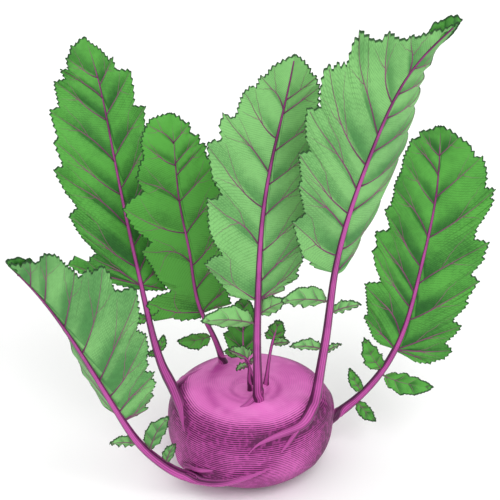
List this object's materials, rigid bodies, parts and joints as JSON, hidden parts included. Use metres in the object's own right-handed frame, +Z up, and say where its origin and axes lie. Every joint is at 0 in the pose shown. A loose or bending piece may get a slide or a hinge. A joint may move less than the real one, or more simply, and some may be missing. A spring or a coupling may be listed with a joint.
{
  "type": "kohlrabi",
  "caption": "Squat purple kohlrabi bulb standing on its flat cut base, with long purple-stalked green toothed leaves and young leaves at its heart.",
  "frame": {"origin": "middle of the bulb's flat cut base, on the surface it stands on", "axes": "+Z up along the bulb's axis, -Y towards the viewer of the picture, +X to the viewer's right"},
  "size_m": [0.2397, 0.1478, 0.2681],
  "materials": {
    "skin": "smooth purple skin with a satin sheen",
    "stalk": "smooth purple leaf stalk, satin",
    "blade": "matte green leaf blade with a fine relief of veins"
  },
  "bodies": {
    "root": {"bulb": "skin", "leaf_left_stalk": "stalk", "leaf_left_blade": "blade", "leaf_back_left_stalk": "stalk", "leaf_back_left_blade": "blade", "leaf_centre_stalk": "stalk", "leaf_centre_blade": "blade", "leaf_right_tall_stalk": "stalk", "leaf_right_tall_blade": "blade", "leaf_right_stalk": "stalk", "leaf_right_blade": "blade", "leaf_low_left_stalk": "stalk", "leaf_low_left_blade": "blade", "young_leaf_tall_stalk": "stalk", "young_leaf_tall_blade": "blade", "young_leaf_small_stalk": "stalk", "young_leaf_small_blade": "blade", "young_leaf_right_stalk": "stalk", "young_leaf_right_blade": "blade"}
  },
  "joints": []
}
